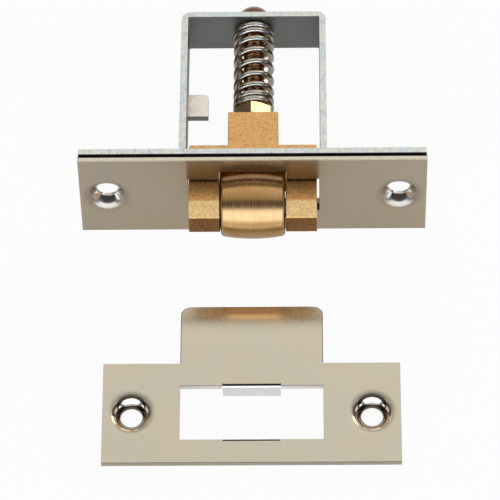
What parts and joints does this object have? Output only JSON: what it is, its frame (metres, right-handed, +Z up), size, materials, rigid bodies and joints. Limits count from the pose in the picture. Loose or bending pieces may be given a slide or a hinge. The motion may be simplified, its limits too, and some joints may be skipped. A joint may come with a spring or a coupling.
{
  "type": "roller catch",
  "caption": "Mortice roller catch: sprung brass roller in a rectangular forend with a U-shaped case, and its lipped strike plate lying in front.",
  "frame": {"origin": "centre of the outline's bounding box, on the table the parts rest on", "axes": "+X along the forend and the strike, +Y from the strike towards the rear of the case, +Z up from the table. The catch's own depth axis leans 8 degrees below +Y, as it does when the catch lies on a table."},
  "size_m": [0.07, 0.1062, 0.0221],
  "materials": {
    "satin_nickel": "satin nickel plate on steel",
    "strike_nickel": "satin nickel plate on steel",
    "zinc": "bright zinc plate on steel",
    "cast_brass": "as-extruded brass with sawn faces",
    "turned_brass": "turned and polished brass",
    "pin_steel": "ground steel",
    "spring_steel": "bright drawn spring wire"
  },
  "bodies": {
    "case": {"face_plate": "satin_nickel", "back_plate": "zinc", "case_frame": "zinc", "return_spring": "spring_steel", "strike_plate": "strike_nickel"},
    "carrier": {"roller_carrier": "cast_brass", "roller_pin": "pin_steel", "adjusting_screw": "turned_brass", "lock_nut": "cast_brass"},
    "roller": {"roller": "turned_brass"}
  },
  "joints": [
    {"name": "carrier_slide", "type": "slide", "parent": "case", "child": "carrier", "axis": [0, 0.9903, -0.1388], "range_m": [0, 0.0094], "stiffness_N_per_m": 1500, "springref_m": -0.01, "deforming": ["return_spring"]},
    {"name": "roller_spin", "type": "hinge", "parent": "carrier", "child": "roller", "pos_m": [0, 0.00075, 0.01164], "axis": [1, 0, 0], "continuous": true}
  ]
}
